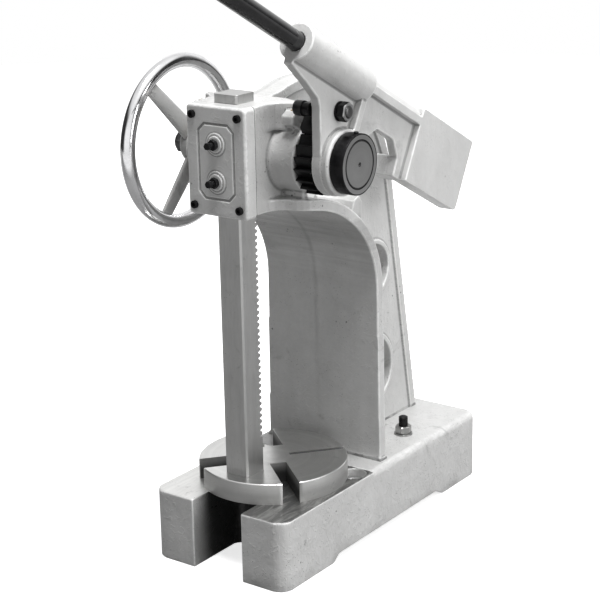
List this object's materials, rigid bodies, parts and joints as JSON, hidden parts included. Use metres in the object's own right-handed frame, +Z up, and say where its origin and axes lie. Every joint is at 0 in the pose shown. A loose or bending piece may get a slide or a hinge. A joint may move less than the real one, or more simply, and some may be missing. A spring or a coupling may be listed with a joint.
{
  "type": "ratchet arbor press",
  "caption": "Ratchet arbor press: a rack-driven ram over a turning slotted table, with weighted ratchet lever, pawl and quick-travel handwheel.",
  "frame": {"origin": "on the floor plane under the ram's axis", "axes": "+Z up along the ram's travel, -Y towards the operator at the front, +X towards the ratchet lever, handwheel on -X"},
  "size_m": [0.3969, 1.2554, 1.3031],
  "materials": {
    "paint": "gloss",
    "machined": "satin",
    "blackened": "satin",
    "chrome": "polished",
    "bronze": "satin"
  },
  "bodies": {
    "frame": {"base_casting": "paint", "column_casting": "paint", "column_studs": "blackened", "column_washers": "machined", "column_nuts": "machined", "foot_bolts": "blackened", "table_pivot_pin": "machined", "cover_plate": "paint", "cover_screws": "blackened", "gib_strip": "machined", "gib_screws": "blackened", "gib_lock_nuts": "blackened", "oilers": "bronze", "right_bush": "bronze", "left_bush": "bronze"},
    "ram": {"ram": "machined"},
    "drive": {"pinion_shaft": "machined", "ratchet_wheel": "blackened", "ratchet_key": "machined", "end_collar": "blackened", "collar_screw": "blackened", "handwheel_rim": "chrome", "handwheel_spider": "paint", "handwheel_key": "machined", "handwheel_washer": "machined", "handwheel_nut": "blackened"},
    "lever": {"lever_casting": "paint", "lever_bar": "blackened", "bar_screw": "blackened", "pawl_pin": "machined", "pawl_washer": "blackened", "pawl_nut": "blackened"},
    "pawl": {"pawl": "blackened", "pawl_knob": "blackened"},
    "table": {"table_plate": "machined"}
  },
  "joints": [
    {"name": "ram_slide", "type": "slide", "parent": "frame", "child": "ram", "axis": [0, 0, 1], "range_m": [0, 0.4046]},
    {"name": "pinion_spin", "type": "hinge", "parent": "frame", "child": "drive", "pos_m": [0, 0.0628, 0.745], "axis": [1, 0, 0], "range_deg": [-560, 0]},
    {"name": "lever_swing", "type": "hinge", "parent": "frame", "child": "lever", "pos_m": [0, 0.0628, 0.745], "axis": [1, 0, 0], "range_deg": [-20, 60]},
    {"name": "pawl_pivot", "type": "hinge", "parent": "lever", "child": "pawl", "pos_m": [0.135, 0.06316, 0.83088], "axis": [1, 0, 0], "range_deg": [-30, 8]},
    {"name": "table_turn", "type": "hinge", "parent": "frame", "child": "table", "pos_m": [0, 0.085, 0.1318], "axis": [0, 0, 1], "continuous": true}
  ],
  "couplings": [
    {"joint": "pinion_spin", "follows": "ram_slide", "rad_per_m": -24.155}
  ]
}
